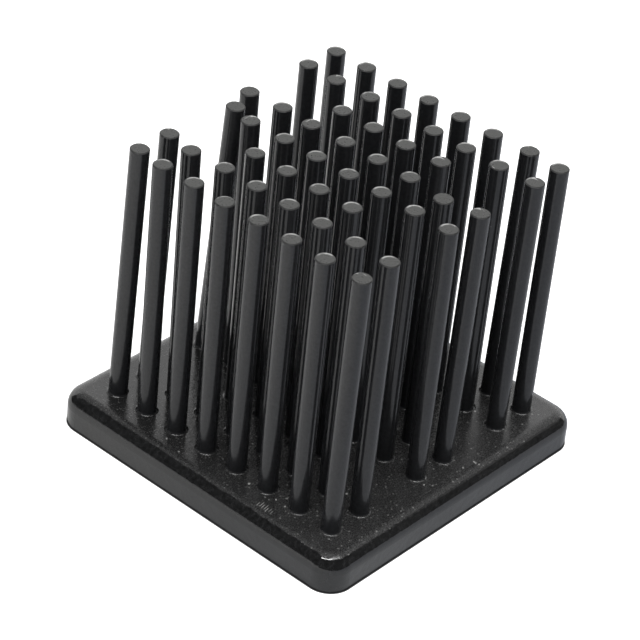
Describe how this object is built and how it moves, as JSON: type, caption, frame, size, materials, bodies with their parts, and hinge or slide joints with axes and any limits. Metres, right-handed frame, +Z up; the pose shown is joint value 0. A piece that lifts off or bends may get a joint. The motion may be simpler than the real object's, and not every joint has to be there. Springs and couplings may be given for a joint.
{
  "type": "pin fin heat sink",
  "caption": "One-piece heat sink: a square grid of round pins on a thick plate with rounded edges, with open notches at two sides for a spring clip.",
  "frame": {"origin": "middle of the flat underside of the plate", "axes": "+Z points up along the pins, away from the cooled chip; +Y runs along the columns of pins, towards one notched side; +X runs across the columns, towards a side with no notches"},
  "size_m": [0.045, 0.045, 0.0392],
  "materials": {
    "black_anodised": "black anodised, satin, with matte pin tips"
  },
  "bodies": {
    "root": {"heat_sink": "black_anodised"}
  },
  "joints": []
}
